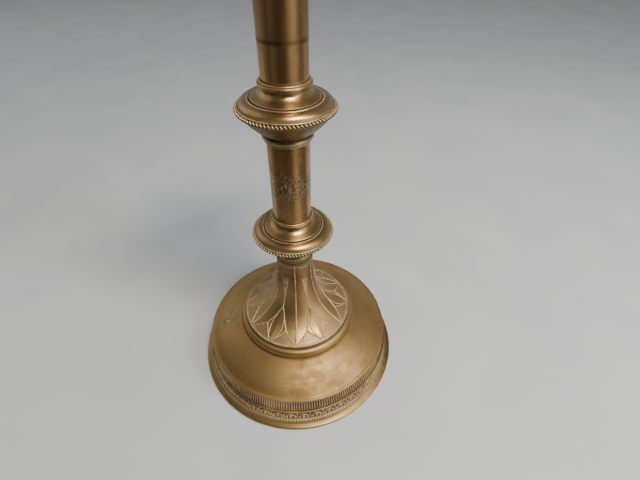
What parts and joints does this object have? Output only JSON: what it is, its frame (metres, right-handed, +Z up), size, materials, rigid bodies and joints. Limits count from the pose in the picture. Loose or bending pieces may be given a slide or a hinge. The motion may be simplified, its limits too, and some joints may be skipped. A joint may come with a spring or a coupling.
{
  "type": "pricket candlestick",
  "caption": "Turned brass pricket candlestick: round stepped foot, leaf-engraved trumpet collar, tube stem with roped knops, lift-off drip pan and candle spike.",
  "frame": {"origin": "centre of the foot, on the surface that the candlestick stands on", "axes": "+Z up along the stem and the candle spike; -Y is the side that one leaf of the collar points to"},
  "size_m": [0.184, 0.184, 0.4461],
  "materials": {
    "foot_brass": "tarnished, worn",
    "frieze_brass": "tarnished, polish residue in the relief",
    "plate_brass": "satin, tarnished",
    "collar_brass": "satin, engraved",
    "knop_brass": "satin",
    "tube_brass": "satin, spotted tarnish",
    "pan_brass": "satin",
    "rod_steel": "plain, lightly rusted"
  },
  "bodies": {
    "candlestick": {"foot_ring": "foot_brass", "frieze_band": "frieze_brass", "reeded_band": "frieze_brass", "base_plate": "plate_brass", "collar_moulding": "collar_brass", "leaf_collar": "collar_brass", "neck_spacer": "knop_brass", "lower_knop_bowl": "knop_brass", "lower_knop_rope": "knop_brass", "lower_knop_shell": "knop_brass", "lower_knop_cap": "knop_brass", "lower_knop_bead": "knop_brass", "lower_stem_tube": "tube_brass", "middle_knop_bowl": "knop_brass", "middle_knop_rope": "knop_brass", "middle_knop_shell": "knop_brass", "middle_knop_cap": "knop_brass", "middle_knop_bead": "knop_brass", "upper_stem_tube": "tube_brass", "upper_knop_bowl": "knop_brass", "upper_knop_rope": "knop_brass", "upper_knop_shell": "knop_brass", "upper_knop_cap": "knop_brass", "upper_knop_bead": "knop_brass", "calyx": "knop_brass", "calyx_disc": "knop_brass", "pricket": "pan_brass", "tie_rod": "rod_steel", "clamp_plate": "rod_steel", "lock_washer": "rod_steel", "tie_nut": "rod_steel"},
    "drip_pan": {"drip_pan": "pan_brass"}
  },
  "joints": [
    {"name": "drip_pan_lift", "type": "slide", "parent": "candlestick", "child": "drip_pan", "axis": [0, 0, 1], "range_m": [0, 0.075]}
  ]
}
